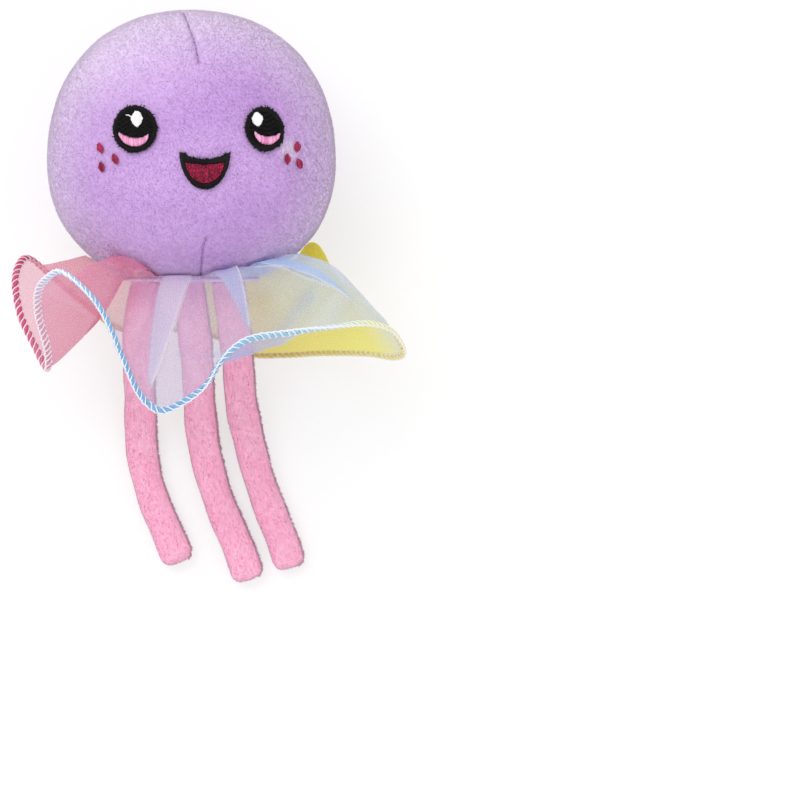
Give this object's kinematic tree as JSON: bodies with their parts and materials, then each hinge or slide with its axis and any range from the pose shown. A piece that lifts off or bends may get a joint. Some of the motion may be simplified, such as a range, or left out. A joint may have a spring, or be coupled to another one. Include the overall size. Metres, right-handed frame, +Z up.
{
  "type": "plush jellyfish",
  "caption": "Stuffed plush jellyfish toy with a round head, a stitched face, a see-through ruffled skirt and hanging fabric tentacles, lying on its back.",
  "frame": {"origin": "on the floor, under the middle of the toy's bounding box", "axes": "+Z up out of the floor and out through the face, +Y to the crown of the head, -Y along the tentacles, +X to the right of someone looking down at the face"},
  "size_m": [0.131, 0.1898, 0.0944],
  "materials": {
    "lavender_plush": "short dense plush pile",
    "pink_plush": "short plush pile brushed lengthwise",
    "pastel_organza": "sheer shiny organza, pink to blue to yellow round the skirt",
    "hem_thread": "overlocked cord of variegated thread, pink, blue and yellow with white",
    "black_thread": "satin embroidery",
    "white_thread": "satin embroidery",
    "rose_thread": "satin embroidery",
    "magenta_thread": "satin embroidery",
    "white_fibre": "loose polyester filling"
  },
  "bodies": {
    "root": {"head_front_panel": "lavender_plush", "head_back_panel": "lavender_plush", "head_base_disc": "lavender_plush", "head_stuffing": "white_fibre", "skirt": "pastel_organza", "skirt_hem_stitching": "hem_thread", "tentacle_left": "pink_plush", "tentacle_middle": "pink_plush", "tentacle_right": "pink_plush", "eye_left_patch": "black_thread", "eye_left_highlight": "white_thread", "eye_left_crescent": "rose_thread", "eye_right_patch": "black_thread", "eye_right_highlight": "white_thread", "eye_right_crescent": "rose_thread", "mouth_outline": "black_thread", "mouth_filling": "magenta_thread", "freckle_left_upper": "magenta_thread", "freckle_left_inner": "magenta_thread", "freckle_left_lower": "magenta_thread", "freckle_right_upper": "magenta_thread", "freckle_right_inner": "magenta_thread", "freckle_right_lower": "magenta_thread"}
  },
  "joints": []
}
